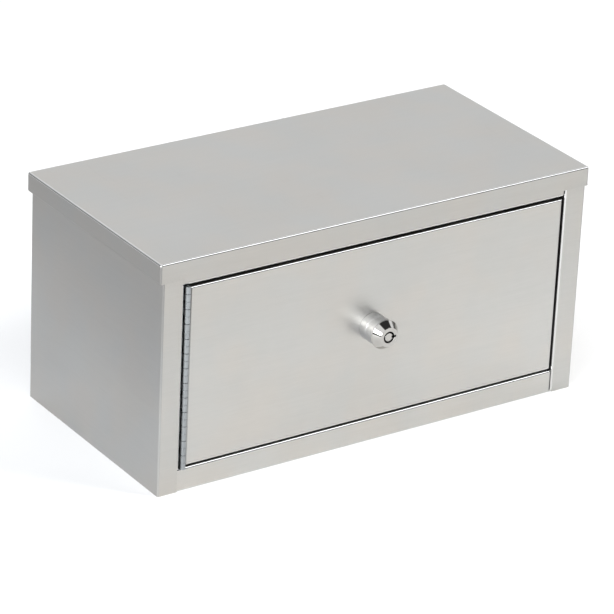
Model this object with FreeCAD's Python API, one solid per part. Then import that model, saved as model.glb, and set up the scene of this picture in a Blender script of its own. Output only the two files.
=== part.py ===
import FreeCAD, Part
import math
import os

# Locking stainless steel counter box. X runs along the front, Y from front to back, Z up.
# Origin: middle of the underside, on the surface the box stands on. All lengths in millimetres.

# Overall sizes, over the cover
case_width = 406.4
case_depth = 203.2
case_height = 198.5

# Cutting shapes and rounded ends
beyond = 1.0                 # how far a cutting shape passes the metal that it cuts
full_round = 0.99            # share of a leaf's thickness that a rounded edge takes up
touching = 1e-4              # places closer than this are the same

# Sheet metal
sheet = 1.2
bend_inside = 0.4            # inside radius of every fold
flange = 12.0                # width of the hidden weld flanges
flange_relief = 2.0          # from the end of a weld flange to the bend beside it
hem_gap = 0.2                # between the two leaves of a hemmed edge
hem_height = 11.6            # height of the folded-back leaf

# Front frame
cover_flange = 16.4          # drop of the cover's four flanges
header_depth = 21.3          # front flange between the stiles
rail_height = 19.9
left_stile = 19.05
right_stile = 20.2
frame_return = 12.0          # depth of the header's and the rail's inward return
stile_return = 8.0
seam_gap = 0.6               # open seam between the rail's or the header's right end and the stile
seam_corner_inside = 0.8     # inside radius of their rounded right-hand corners
seam_foot_flat = 0.4         # height of the rail's foot under the seam, above its lower bend

# Door and the gaps around it
door_gap_top = 2.6
door_gap_bottom = 1.8
door_gap_right = 2.4
door_return = 12.0
hinge_side_return = 25.0

# Continuous hinge
barrel_diameter = 4.5
pin_diameter = 2.4
pin_clearance = 0.05         # radial, between the pin and a knuckle that turns on it
leaf = 1.0
leaf_width = 22.4
knuckle_length = 6.0
knuckle_gap_over = 0.4      # above each door knuckle
knuckle_gap_under = 0.15     # below each door knuckle
stile_to_barrel = 0.8
barrel_proud = 0.3           # the barrel's axis stands this far in front of the door's face
barrel_to_door = 0.35
hinge_gap_top = 1.0
hinge_notch_depth = 2.8      # the barrel may run this far down into the rail's notch
notch_clearance = 0.3
jamb_sheet = 1.5
jamb_setback = 10.0          # from the front face to the jamb's front edge
jamb_depth = 27.0
jamb_inner_leg = 22.0

# Rivets
rivet_shank = 3.2
rivet_head = 6.0
rivet_head_height = 0.9
rivet_head_crown = 0.7       # rounded share of a head's height
rivet_tail = 4.6
rivet_tail_height = 1.8
rivet_tail_crown = 0.5       # rounded share of a tail's height
rivet_setback = 14.0         # from the hinge axis to the rivet line
frame_rivet_count = 6
door_rivet_count = 5
rivet_end_margin = 12.0

# Door stops with their rubber pads
stop_sheet = 1.2
stop_height = 16.0
stop_reach = 11.0            # how far a stop's lip stands in over the opening
stop_lap = 6.0               # weld lap on the stile's return
stop_from_door_end = 20.0
pad_width = 6.4
pad_height = 10.0
pad_thickness = 1.9
pad_clearance = 0.3
pad_edge = 0.6               # rounding of a pad's front edges

# Lock
lock_x = -5.0
lock_z = 103.2
lock_projection = 24.3       # from the door's face to the lock's face
collar_wall = 2.05
collar_bore_clearance = 0.12 # radial, collars and washer on the barrel
rear_collar_length = 8.0
collar_edge = 0.35
head_overhang = 0.7          # how far the head's rim stands out past the collars
head_rim = 1.4
head_face_diameter = 16.4
head_cone_height = 5.8
barrel_thread = 19.05
barrel_flat_depth = 1.2      # two flats stop the barrel turning in the door
hole_clearance = 0.2         # door's and backing plate's holes over the barrel, in diameter
keyway_outer = 9.85
keyway_inner = 7.0
keyway_depth = 7.2
key_notch_width = 1.7
key_notch_outer = 6.8        # radius to which the notch cuts the head
key_notch_inner = 2.6        # radius to which the notch cuts the centre post
post_recess = 0.3
spindle_diameter = 13.0
turning_clearance = 0.05     # radial, spindle in housing
end_clearance = 0.3
backing_size = 60.0
backing_sheet = 1.5
backing_corner = 3.2
lock_washer_width = 3.4
lock_washer_thickness = 1.0
nut_wall = 2.5               # from the thread to the hexagon's flats
nut_thickness = 5.0
drive_square = 8.0
stop_washer_diameter = 16.0
stop_washer_thickness = 1.5
cam_width = 16.0
cam_thickness = 2.0
cam_tip_corner = 4.0
cam_overlap = 6.3            # height of the cam's tip above the header's lower edge when locked
cam_clearance = 0.8          # behind the door's and the header's returns
cam_washer_diameter = 11.0
cam_washer_thickness = 0.8
cam_screw = 5.0
cam_screw_head = 9.0
cam_screw_head_height = 3.0
cam_screw_length = 12.0
cam_screw_head_edge = 1.5
cross_width = 1.8            # cross recess in the screw's head
cross_length = 6.0
cross_depth = 1.5

# Tumblers of the lock
tumbler_places = 8           # seven hold a pin, the eighth is the notch
tumbler_diameter = 1.2
tumbler_clearance = 0.05
tumbler_length = 6.0
tumbler_tip_edge = 0.24
tumbler_stand = 0.4          # how far a pin's tip stands into the keyway
spring_length = 5.0
spring_wire = 0.25

# Fixing holes in the back
fixing_hole = 6.5
fixing_spacing_x = 304.8
fixing_spacing_z = 101.6
fixing_centre_z = 101.6

# Places that follow from the sizes above
bend_outside = bend_inside + sheet
hem_thickness = 2 * sheet + hem_gap
front = -case_depth / 2
back = case_depth / 2
body_left = -case_width / 2 + hem_thickness
body_right = case_width / 2 - hem_thickness
body_back = back - hem_thickness
cover_underside = case_height - sheet
cover_edge = case_height - cover_flange
opening_left = body_left + left_stile
opening_right = body_right - right_stile
opening_top = case_height - header_depth
opening_bottom = rail_height
seam_left = opening_right - seam_gap
seam_foot = bend_outside + seam_foot_flat

axis_x = opening_left + stile_to_barrel + barrel_diameter / 2
axis_y = front - barrel_proud
barrel_top = opening_top - hinge_gap_top
knuckle_pitch = 2 * knuckle_length + knuckle_gap_over + knuckle_gap_under
lowest_barrel_end = opening_bottom - hinge_notch_depth
knuckle_pairs = int((barrel_top - lowest_barrel_end - knuckle_length) / knuckle_pitch)
barrel_bottom = barrel_top - knuckle_pairs * knuckle_pitch - knuckle_length

door_left = axis_x + barrel_diameter / 2 + barrel_to_door
door_right = opening_right - door_gap_right
door_bottom = opening_bottom + door_gap_bottom
door_top = opening_top - door_gap_top
door_inside = front + sheet
door_back = front + door_return

lock_face = front - lock_projection
rim_front = lock_face + head_cone_height
rim_back = rim_front + head_rim
cam_front = front + max(door_return, frame_return) + cam_clearance
stop_washer_front = cam_front - stop_washer_thickness
housing_back = stop_washer_front - end_clearance
keyway_floor = lock_face + keyway_depth
spindle_front = keyway_floor + end_clearance
cam_back = cam_front + cam_thickness
collar_bore = barrel_thread + 2 * collar_bore_clearance
collar_diameter = collar_bore + 2 * collar_wall
head_diameter = collar_diameter + 2 * head_overhang
barrel_flats = barrel_thread - 2 * barrel_flat_depth
cam_reach = opening_top - lock_z + cam_overlap


def vec(x, y, z):
    return FreeCAD.Vector(x, y, z)


def block(x0, x1, y0, y1, z0, z1):
    """A box between two corners."""
    return Part.makeBox(x1 - x0, y1 - y0, z1 - z0, vec(x0, y0, z0))


def rod(radius, y0, y1, x=lock_x, z=lock_z):
    """A round bar along Y."""
    return Part.makeCylinder(radius, y1 - y0, vec(x, y0, z), vec(0, 1, 0))


def rounded_face(corners):
    """A flat face whose outline has the given (point, radius) corners; a radius of 0 stays sharp."""
    points = [point for point, radius in corners]
    count = len(corners)
    starts = []
    ends = []
    middles = []
    for i, (point, radius) in enumerate(corners):
        to_last = (points[i - 1] - point).normalize()
        to_next = (points[(i + 1) % count] - point).normalize()
        half = to_last.getAngle(to_next) / 2
        setback = radius / math.tan(half)
        centre_line = (to_last + to_next).normalize()
        starts.append(point + to_last * setback)
        ends.append(point + to_next * setback)
        middles.append(point + centre_line * (radius / math.sin(half) - radius))
    edges = []
    for i in range(count):
        if corners[i][1] > 0:
            edges.append(Part.Arc(starts[i], middles[i], ends[i]).toShape())
        following = starts[(i + 1) % count]
        if ends[i].distanceToPoint(following) > touching:
            edges.append(Part.LineSegment(ends[i], following).toShape())
    return Part.Face(Part.Wire(edges))


def bent_sheet(path, thickness, place, run):
    """A folded sheet. path holds the (u, v) corners of its outer face, with the metal on the
    left of the way they run; place turns (u, v) into a point and run is the length of the sheet."""
    steps = [(b[0] - a[0], b[1] - a[1]) for a, b in zip(path, path[1:])]
    lengths = [math.hypot(du, dv) for du, dv in steps]
    ways = [(du / size, dv / size) for (du, dv), size in zip(steps, lengths)]
    outer = [(path[0], 0)]
    inner = [((path[0][0] - ways[0][1] * thickness, path[0][1] + ways[0][0] * thickness), 0)]
    for (u, v), (au, av), (bu, bv) in zip(path[1:-1], ways, ways[1:]):
        grow = thickness / (1 + au * bu + av * bv)
        left_turn = au * bv - av * bu > 0
        outer.append(((u, v), bend_inside + thickness if left_turn else bend_inside))
        inner_radius = bend_inside if left_turn else bend_inside + thickness
        inner.append(((u - (av + bv) * grow, v + (au + bu) * grow), inner_radius))
    outer.append((path[-1], 0))
    inner.append(((path[-1][0] - ways[-1][1] * thickness, path[-1][1] + ways[-1][0] * thickness), 0))
    outline = [(place(*point), radius) for point, radius in outer + inner[::-1]]
    return rounded_face(outline).extrude(run)


def plan(z):
    """Places a profile drawn in X and Y at height z."""
    return lambda x, y: vec(x, y, z)


def side_view(x):
    """Places a profile drawn in Y and Z at x."""
    return lambda y, z: vec(x, y, z)


def front_view(y):
    """Places a profile drawn in X and Z at y."""
    return lambda x, z: vec(x, y, z)


def edges_where(shape, test):
    """The edges of a shape whose two ends both pass the test."""
    return [e for e in shape.Edges if all(test(v.Point) for v in e.Vertexes)]


def near(a, b):
    return abs(a - b) < touching


def double_d(diameter, flats, y0, y1):
    """A round bar along the lock's axis with two flats, left and right."""
    half = flats / 2
    reach = diameter
    between = block(lock_x - half, lock_x + half, y0, y1, lock_z - reach, lock_z + reach)
    return rod(diameter / 2, y0, y1).common(between)


def knuckle(z0, z1, bore_radius):
    """One knuckle of the hinge's barrel."""
    ring = Part.makeCylinder(barrel_diameter / 2, z1 - z0, vec(axis_x, axis_y, z0))
    return ring.cut(Part.makeCylinder(bore_radius, z1 - z0, vec(axis_x, axis_y, z0)))


def frame_knuckles():
    """Lower and upper end of each knuckle that belongs to the fixed leaf."""
    tops = [barrel_top - k * knuckle_pitch for k in range(knuckle_pairs + 1)]
    return [(top - knuckle_length, top) for top in tops]


def door_knuckles():
    """Lower and upper end of each knuckle that belongs to the door's leaf."""
    tops = [low - knuckle_gap_over for low, high in frame_knuckles()[:-1]]
    return [(top - knuckle_length, top) for top in tops]


def rivet(x, z, way, grip):
    """A rivet along X: its head lies against x and its shank runs the given way through grip."""
    y = axis_y + rivet_setback
    along = vec(way, 0, 0)
    seat = vec(x, y, z)
    head = Part.makeCylinder(rivet_head / 2, rivet_head_height, seat, along * -1)
    crown = x - way * rivet_head_height
    rim = edges_where(head, lambda p: near(p.x, crown))
    head = head.makeFillet(rivet_head_height * rivet_head_crown, rim)
    shank = Part.makeCylinder(rivet_shank / 2, grip, seat, along)
    tail = Part.makeCylinder(rivet_tail / 2, rivet_tail_height, seat + along * grip, along)
    end = x + way * (grip + rivet_tail_height)
    rim = edges_where(tail, lambda p: near(p.x, end))
    tail = tail.makeFillet(rivet_tail_height * rivet_tail_crown, rim)
    return head.fuse([shank, tail]).removeSplitter()


def rivet_heights(low, high, count):
    """Evenly spaced heights between two ends, with the same margin at both."""
    first = low + rivet_end_margin
    last = high - rivet_end_margin
    return [first + (last - first) * k / (count - 1) for k in range(count)]


def frame_rivet_heights():
    return rivet_heights(barrel_bottom, barrel_top, frame_rivet_count)


def door_rivet_heights():
    """Midway between the frame's rivets, so that the heads pass each other."""
    heights = frame_rivet_heights()
    return [(a + b) / 2 for a, b in zip(heights, heights[1:])][:door_rivet_count]


def rivet_holes(heights, x0, x1):
    """Holes along X for a row of rivets."""
    y = axis_y + rivet_setback
    return [Part.makeCylinder(rivet_shank / 2, x1 - x0, vec(x0, y, z), vec(1, 0, 0)) for z in heights]


def frame_bar(left, plain_edge, folded_edge):
    """Front face of the header or the rail, with its inward return along folded_edge; its right
    end is folded back too, round a rounded corner."""
    low, high = sorted((plain_edge, folded_edge))
    way = 1 if folded_edge > plain_edge else -1
    inner_edge = folded_edge - way * sheet
    past_plain = plain_edge - way * beyond
    bar = block(left, seam_left, front, front + frame_return, low, high)
    hollow = block(left - beyond, seam_left - sheet, front + sheet, front + frame_return + beyond,
                   min(inner_edge, past_plain), max(inner_edge, past_plain))
    layers = []
    for shape, corner, bend in ((bar, seam_corner_inside + sheet, bend_outside),
                                (hollow, seam_corner_inside, bend_inside)):
        box = shape.BoundBox
        fold = box.ZMax if way > 0 else box.ZMin
        end = [e for e in shape.Edges if near(e.BoundBox.XMin, box.XMax)
               and near(e.BoundBox.ZMin, fold) and near(e.BoundBox.ZMax, fold)]
        shape = shape.makeFillet(corner, end)
        cut_end = box.ZMin if way > 0 else box.ZMax
        face_edges = [e for e in shape.Edges if near(e.BoundBox.YMax, box.YMin)
                      and not near(e.BoundBox.XMax, box.XMin)
                      and not (near(e.BoundBox.ZMin, cut_end) and near(e.BoundBox.ZMax, cut_end))]
        layers.append(shape.makeFillet(bend, face_edges))
    return layers[0].cut(layers[1])


def top_cover():
    """Top plate with four flanges; the front one drops lower between the stiles, the others are hemmed."""
    straight_end = cover_edge + hem_thickness / 2
    shell = block(-case_width / 2, case_width / 2, front, back, straight_end, case_height)
    rims = edges_where(shell, lambda p: near(p.z, case_height))
    posts = [e for e in shell.Edges if near(e.Vertexes[0].X, e.Vertexes[-1].X)
             and near(e.Vertexes[0].Y, e.Vertexes[-1].Y)]
    shell = shell.makeFillet(bend_outside, rims + posts)
    hollow = block(-case_width / 2 + sheet, case_width / 2 - sheet, front + sheet, back - sheet,
                   straight_end - beyond, cover_underside)
    rims = edges_where(hollow, lambda p: near(p.z, cover_underside))
    shell = shell.cut(hollow.makeFillet(bend_inside, rims))
    front_lip = block(-case_width / 2, case_width / 2, front, front + sheet, cover_edge, straight_end)
    lip_ends = [e for e in front_lip.Edges if near(e.Vertexes[0].Y, front) and near(e.Vertexes[-1].Y, front)
                and near(e.Vertexes[0].X, e.Vertexes[-1].X)]
    front_lip = front_lip.makeFillet(sheet * full_round, lip_ends)
    tongue = frame_bar(opening_left - bend_outside, cover_edge, opening_top)
    return shell.fuse([front_lip, tongue] + cover_hems()).removeSplitter()


def hem_section(place_out, run):
    """The rolled lower edge and folded-back leaf of a hemmed flange. place_out takes the distance
    in from the flange's outer face, and the height."""
    top = cover_edge + hem_height
    roll = hem_thickness / 2 * full_round
    bend_start = cover_edge + hem_thickness / 2
    slot_end = cover_edge + sheet
    corners = [(0, bend_start, 0), (0, cover_edge, roll), (hem_thickness, cover_edge, roll),
               (hem_thickness, top, 0), (sheet + hem_gap, top, 0), (sheet + hem_gap, slot_end, 0),
               (sheet, slot_end, 0), (sheet, bend_start, 0)]
    outline = [(place_out(inwards, height), radius) for inwards, height, radius in corners]
    return rounded_face(outline).extrude(run)


def cover_hems():
    """Hems on the left, right and back flanges of the cover."""
    side_length = case_depth - sheet - bend_outside
    left = hem_section(lambda d, z: vec(-case_width / 2 + d, front + sheet, z), vec(0, side_length, 0))
    right = left.mirror(vec(0, 0, 0), vec(1, 0, 0))
    back_length = case_width - 2 * bend_outside
    rear = hem_section(lambda d, z: vec(-back_length / 2, back - d, z), vec(back_length, 0, 0))
    return [left, right, rear]


def side_panel(stile_width, return_bottom, return_top):
    """The left side: panel, front stile with its return, and weld flanges at the back and top."""
    edge = body_left + stile_width
    path = [(body_left + flange, body_back), (body_left, body_back), (body_left, front),
            (edge, front), (edge, front + stile_return)]
    wall = bent_sheet(path, sheet, plan(0), vec(0, 0, cover_underside))
    y0 = front - beyond
    y1 = front + stile_return + beyond
    over_stile = block(body_left - beyond, edge + beyond, y0, y1, cover_edge, case_height)
    below_return = block(edge - bend_outside, edge + beyond, y0, y1, -beyond, return_bottom)
    above_return = block(edge - bend_outside, edge + beyond, y0, y1, return_top, case_height)
    wall = wall.cut([over_stile, below_return, above_return])
    top_path = [(body_left + flange, cover_underside), (body_left, cover_underside),
                (body_left, cover_underside - flange)]
    top_start = front + stile_return + flange_relief
    top_length = body_back - 2 * sheet - top_start
    top_flange = bent_sheet(top_path, sheet, front_view(top_start), vec(0, top_length, 0))
    corner = block(body_left - beyond, body_left + bend_outside, top_start, body_back - bend_outside,
                   cover_underside - bend_outside, case_height)
    back_end = block(body_left - beyond, body_left + flange + beyond, body_back - bend_outside,
                     body_back + beyond, cover_underside - bend_outside, case_height)
    return wall.cut([corner, back_end]).fuse(top_flange.cut(back_end)).removeSplitter()


def left_side_panel():
    """Its stile's return is cut away behind the rail and the header, which are welded flush to it."""
    return side_panel(left_stile, opening_bottom, opening_top)


def right_side_panel():
    """Its stile's return runs on past the ends of the rail and the header."""
    return side_panel(right_stile, seam_foot, cover_edge).mirror(vec(0, 0, 0), vec(1, 0, 0))


def back_panel():
    """Flat back inside the side panels' flanges, with a flange under the cover and four fixing holes."""
    y = body_back - sheet
    half_width = -body_left - sheet - bend_inside
    path = [(-half_width, 0), (-half_width, cover_underside), (half_width, cover_underside), (half_width, 0)]
    plate = Part.Face(Part.makePolygon([vec(x, y - sheet, z) for x, z in path + path[:1]]))
    plate = plate.extrude(vec(0, sheet, 0))
    top_start = body_left + flange + flange_relief
    top_path = [(y, cover_underside - flange), (y, cover_underside), (y - flange, cover_underside)]
    top_flange = bent_sheet(top_path, sheet, side_view(top_start), vec(-2 * top_start, 0, 0))
    shoulder = block(top_start, -top_start, y - bend_outside, y + beyond,
                     cover_underside - bend_outside, case_height)
    shape = plate.cut(shoulder).fuse(top_flange)
    for x in (-fixing_spacing_x / 2, fixing_spacing_x / 2):
        for z in (fixing_centre_z - fixing_spacing_z / 2, fixing_centre_z + fixing_spacing_z / 2):
            shape = shape.cut(rod(fixing_hole / 2, y - sheet - beyond, y + beyond, x, z))
    return shape.removeSplitter()


def bottom_panel():
    """Floor with upturned weld flanges, and the front rail folded up from it in one piece."""
    rail_left = opening_left - bend_outside
    rail_right = opening_right + bend_outside
    floor_back = body_back - 2 * sheet
    middle_path = [(front, seam_foot), (front, 0), (floor_back, 0), (floor_back, flange)]
    middle = bent_sheet(middle_path, sheet, side_view(rail_left), vec(rail_right - rail_left, 0, 0))
    rail = frame_bar(rail_left, seam_foot, rail_height)
    inside = body_left + sheet
    floor_path = [(inside, flange), (inside, 0), (-inside, 0), (-inside, flange)]
    floor_front = front + stile_return + flange_relief
    floor = bent_sheet(floor_path, sheet, front_view(floor_front), vec(0, floor_back - floor_front, 0))
    wings = block(inside, -inside, front + sheet, floor_front, 0, sheet)
    shape = middle.fuse([rail, floor, wings])
    notch_floor = min(barrel_bottom - notch_clearance, rail_height)
    barrel_notch = block(opening_left, axis_x + barrel_diameter / 2 + 2 * notch_clearance,
                         front - beyond, front + sheet + beyond, notch_floor, rail_height + beyond)
    leaf_notch = block(rail_left - beyond, door_left + notch_clearance, front + bend_outside,
                       front + frame_return + beyond, rail_height - 2 * sheet, rail_height + beyond)
    return shape.cut([barrel_notch, leaf_notch]).removeSplitter()


def hinge_jamb():
    """Channel behind the left stile that carries the hinge's fixed leaf."""
    leg = opening_left + stile_to_barrel
    jamb_front = front + jamb_setback
    jamb_back = jamb_front + jamb_depth
    wall = body_left + sheet
    path = [(leg, jamb_front), (leg, jamb_back), (wall, jamb_back), (wall, jamb_back - jamb_inner_leg)]
    low = flange + flange_relief
    high = opening_top
    channel = bent_sheet(path, jamb_sheet, plan(low), vec(0, 0, high - low))
    return channel.cut(rivet_holes(frame_rivet_heights(), leg - jamb_sheet - beyond, leg + beyond))


def hinge_frame_leaf():
    """Fixed leaf with its knuckles; the two end knuckles are staked onto the pin."""
    x0 = opening_left + stile_to_barrel
    clear = axis_y + barrel_diameter / 2 + notch_clearance
    shape = block(x0, x0 + leaf, clear, clear + leaf_width, barrel_bottom, barrel_top)
    spans = frame_knuckles()
    for z0, z1 in spans:
        tab = block(x0, x0 + leaf, axis_y, clear, z0, z1)
        tab = tab.cut(Part.makeCylinder(barrel_diameter / 2 - leaf, z1 - z0, vec(axis_x, axis_y, z0)))
        staked = (z0, z1) in (spans[0], spans[-1])
        bore = pin_diameter / 2 + (0 if staked else pin_clearance)
        shape = shape.fuse([tab, knuckle(z0, z1, bore)])
    return shape.cut(rivet_holes(frame_rivet_heights(), x0 - beyond, x0 + leaf + beyond)).removeSplitter()


def hinge_door_leaf():
    """Moving leaf, riveted to the door's hinge-side return."""
    x1 = door_left
    clear = axis_y + barrel_diameter / 2 + notch_clearance
    margin = leaf / 2
    shape = block(x1 - leaf, x1, clear, clear + leaf_width, door_bottom + margin, door_top - margin)
    for z0, z1 in door_knuckles():
        tab = block(axis_x + barrel_diameter / 2 - leaf, x1, axis_y, clear, z0, z1)
        tab = tab.cut(Part.makeCylinder(barrel_diameter / 2 - leaf, z1 - z0, vec(axis_x, axis_y, z0)))
        in_front = block(axis_x, x1 + beyond, front - barrel_diameter, front + sheet,
                         z0 - beyond, z1 + beyond)
        shape = shape.fuse([tab.cut(in_front), knuckle(z0, z1, pin_diameter / 2 + pin_clearance)])
    return shape.cut(rivet_holes(door_rivet_heights(), x1 - leaf - beyond, x1 + beyond)).removeSplitter()


def hinge_pin():
    return Part.makeCylinder(pin_diameter / 2, barrel_top - barrel_bottom, vec(axis_x, axis_y, barrel_bottom))


def hinge_frame_rivets():
    seat = opening_left + stile_to_barrel + leaf
    return Part.makeCompound([rivet(seat, z, -1, leaf + jamb_sheet) for z in frame_rivet_heights()])


def hinge_door_rivets():
    return Part.makeCompound([rivet(door_left - leaf, z, 1, leaf + sheet) for z in door_rivet_heights()])


def stop_heights():
    """Middle height of each door stop."""
    return [door_bottom + stop_from_door_end, door_top - stop_from_door_end]


def door_stops():
    """Two angles welded on the right stile's return; the door closes against their pads."""
    leg_face = opening_right + sheet + stop_sheet
    lip_back = front + door_return + pad_clearance + pad_thickness + stop_sheet
    path = [(leg_face, front + stile_return - stop_lap), (leg_face, lip_back),
            (leg_face - stop_sheet - stop_reach, lip_back)]
    stops = []
    for z in stop_heights():
        stops.append(bent_sheet(path, stop_sheet, plan(z - stop_height / 2), vec(0, 0, stop_height)))
    return Part.makeCompound(stops)


def door_pads():
    """Rubber pads on the stops."""
    middle = door_right - sheet / 2
    lip_front = front + door_return + pad_clearance + pad_thickness
    pads = []
    for z in stop_heights():
        pad = block(middle - pad_width / 2, middle + pad_width / 2, lip_front - pad_thickness, lip_front,
                    z - pad_height / 2, z + pad_height / 2)
        face = lip_front - pad_thickness
        pads.append(pad.makeFillet(pad_edge, edges_where(pad, lambda p: near(p.y, face))))
    return Part.makeCompound(pads)


def door_panel():
    """Folded pan with a deeper return on the hinge side and a double-D hole for the lock."""
    pan = block(door_left, door_right, front, door_back, door_bottom, door_top)
    pan = pan.makeFillet(bend_outside, edges_where(pan, lambda p: near(p.y, front)))
    hollow = block(door_left + sheet, door_right - sheet, door_inside, door_back + beyond,
                   door_bottom + sheet, door_top - sheet)
    hollow = hollow.makeFillet(bend_inside, edges_where(hollow, lambda p: near(p.y, door_inside)))
    deep_return = block(door_left, door_left + sheet, door_back, front + hinge_side_return,
                        door_bottom, door_top)
    shape = pan.cut(hollow).fuse(deep_return)
    hole = double_d(barrel_thread + hole_clearance, barrel_flats + hole_clearance,
                    front - beyond, door_inside + beyond)
    holes = rivet_holes(door_rivet_heights(), door_left - beyond, door_left + sheet + beyond)
    return shape.cut([hole] + holes).removeSplitter()


def lock_backing_plate():
    """Plate spot-welded behind the lock hole."""
    half = backing_size / 2
    points = [(-half, -half), (half, -half), (half, half), (-half, half)]
    outline = [(vec(lock_x + x, door_inside, lock_z + z), backing_corner) for x, z in points]
    plate = rounded_face(outline).extrude(vec(0, backing_sheet, 0))
    return plate.cut(double_d(barrel_thread + hole_clearance, barrel_flats + hole_clearance,
                              door_inside - beyond, door_inside + backing_sheet + beyond))


def collar(y0, y1):
    """A plain sleeve round the lock's barrel, with softened edges."""
    shape = rod(collar_diameter / 2, y0, y1)
    shape = shape.makeFillet(collar_edge, [e for e in shape.Edges if e.isClosed()])
    return shape.cut(rod(collar_bore / 2, y0 - beyond, y1 + beyond))


def lock_collar_rear():
    return collar(front - rear_collar_length, front)


def lock_collar_front():
    return collar(rim_back, front - rear_collar_length)


def key_notch(y0, y1, inner, outer):
    """The slot on the +X side of the keyway for the key's nib."""
    half = key_notch_width / 2
    return block(lock_x + inner, lock_x + outer, y0, y1, lock_z - half, lock_z + half)


def lock_housing():
    """Tapered head with the ring-shaped keyway, and the threaded barrel behind it."""
    cone = Part.makeCone(head_face_diameter / 2, head_diameter / 2, head_cone_height,
                         vec(lock_x, lock_face, lock_z), vec(0, 1, 0))
    rim = rod(head_diameter / 2, rim_front, rim_back)
    barrel = double_d(barrel_thread, barrel_flats, rim_back, housing_back)
    shape = cone.fuse([rim, barrel]).removeSplitter()
    keyway = rod(keyway_outer / 2, lock_face - beyond, keyway_floor + beyond)
    chamber = rod(spindle_diameter / 2 + turning_clearance, keyway_floor, housing_back + beyond)
    notch = key_notch(lock_face - beyond, keyway_floor, 0, key_notch_outer)
    return shape.cut([keyway, chamber, notch])


def lock_washer():
    back_face = door_inside + backing_sheet + lock_washer_thickness
    ring = rod(collar_bore / 2 + lock_washer_width, back_face - lock_washer_thickness, back_face)
    return ring.cut(rod(collar_bore / 2, front, back_face + beyond))


def lock_nut():
    """Hexagon nut that clamps the lock to the door."""
    nut_front = door_inside + backing_sheet + lock_washer_thickness
    across_corners = (barrel_thread + 2 * nut_wall) / math.cos(math.pi / 6)
    turns = [math.pi / 3 * k for k in range(7)]
    corner_radius = across_corners / 2
    points = [vec(lock_x + corner_radius * math.cos(a), nut_front, lock_z + corner_radius * math.sin(a))
              for a in turns]
    nut = Part.Face(Part.makePolygon(points)).extrude(vec(0, nut_thickness, 0))
    return nut.cut(rod(barrel_thread / 2, nut_front - beyond, nut_front + nut_thickness + beyond))


def tumbler_places_xz():
    """Centres of the tumbler holes around the post."""
    radius = (keyway_outer + keyway_inner) / 4
    turns = [2 * math.pi * k / tumbler_places for k in range(1, tumbler_places)]
    return [(lock_x + radius * math.cos(a), lock_z + radius * math.sin(a)) for a in turns]


def lock_spindle():
    """Centre post, body with the tumbler holes, and square drive with a tapped end."""
    post = rod(keyway_inner / 2, lock_face + post_recess, spindle_front)
    body = rod(spindle_diameter / 2, spindle_front, housing_back)
    half = drive_square / 2
    drive = block(lock_x - half, lock_x + half, housing_back, cam_back, lock_z - half, lock_z + half)
    shape = post.fuse([body, drive]).removeSplitter()
    tapped = rod(cam_screw / 2, cam_back + cam_washer_thickness - cam_screw_length, cam_back + beyond)
    hole_end = spindle_front - tumbler_stand + tumbler_length + spring_length
    holes = [rod(tumbler_diameter / 2 + tumbler_clearance, spindle_front - beyond, hole_end, x, z)
             for x, z in tumbler_places_xz()]
    notch = key_notch(lock_face - beyond, spindle_front, key_notch_inner, key_notch_outer)
    return shape.cut([tapped, notch] + holes)


def tumbler_pins():
    start = spindle_front - tumbler_stand
    pins = []
    for x, z in tumbler_places_xz():
        pin = rod(tumbler_diameter / 2, start, start + tumbler_length, x, z)
        tip = edges_where(pin, lambda p: near(p.y, start))
        pins.append(pin.makeFillet(tumbler_tip_edge, tip))
    return Part.makeCompound(pins)


def tumbler_springs():
    """Each spring as a sleeve of its outer size."""
    start = spindle_front - tumbler_stand + tumbler_length
    outer = tumbler_diameter / 2
    springs = []
    for x, z in tumbler_places_xz():
        sleeve = rod(outer, start, start + spring_length, x, z)
        bore = rod(outer - spring_wire, start - beyond, start + spring_length + beyond, x, z)
        springs.append(sleeve.cut(bore))
    return Part.makeCompound(springs)


def square_hole(y0, y1):
    half = drive_square / 2
    return block(lock_x - half, lock_x + half, y0, y1, lock_z - half, lock_z + half)


def stop_washer():
    ring = rod(stop_washer_diameter / 2, stop_washer_front, cam_front)
    return ring.cut(square_hole(stop_washer_front - beyond, cam_front + beyond))


def lock_cam():
    """Long flat cam. At rest it lies along +X, parked clear of the frame; a quarter turn brings
    its tip up behind the header's return."""
    half = cam_width / 2
    points = [(-half, -half), (cam_reach, -half), (cam_reach, half), (-half, half)]
    radii = [half * full_round, cam_tip_corner, cam_tip_corner, half * full_round]
    outline = [(vec(lock_x + x, cam_front, lock_z + z), radius) for (x, z), radius in zip(points, radii)]
    plate = rounded_face(outline).extrude(vec(0, cam_thickness, 0))
    return plate.cut(square_hole(cam_front - beyond, cam_back + beyond))


def cam_washer():
    ring = rod(cam_washer_diameter / 2, cam_back, cam_back + cam_washer_thickness)
    return ring.cut(rod(cam_screw / 2, cam_back - beyond, cam_back + cam_washer_thickness + beyond))


def cam_screw_part():
    """Pan-head screw with a cross recess."""
    seat = cam_back + cam_washer_thickness
    end = seat + cam_screw_head_height
    head = rod(cam_screw_head / 2, seat, end)
    head = head.makeFillet(cam_screw_head_edge, edges_where(head, lambda p: near(p.y, end)))
    shank = rod(cam_screw / 2, seat - cam_screw_length, seat)
    slot = cross_width / 2
    reach = cross_length / 2
    floor = end - cross_depth
    across = block(lock_x - reach, lock_x + reach, floor, end + beyond, lock_z - slot, lock_z + slot)
    upright = block(lock_x - slot, lock_x + slot, floor, end + beyond, lock_z - reach, lock_z + reach)
    return head.fuse(shank).cut([across, upright]).removeSplitter()


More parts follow.
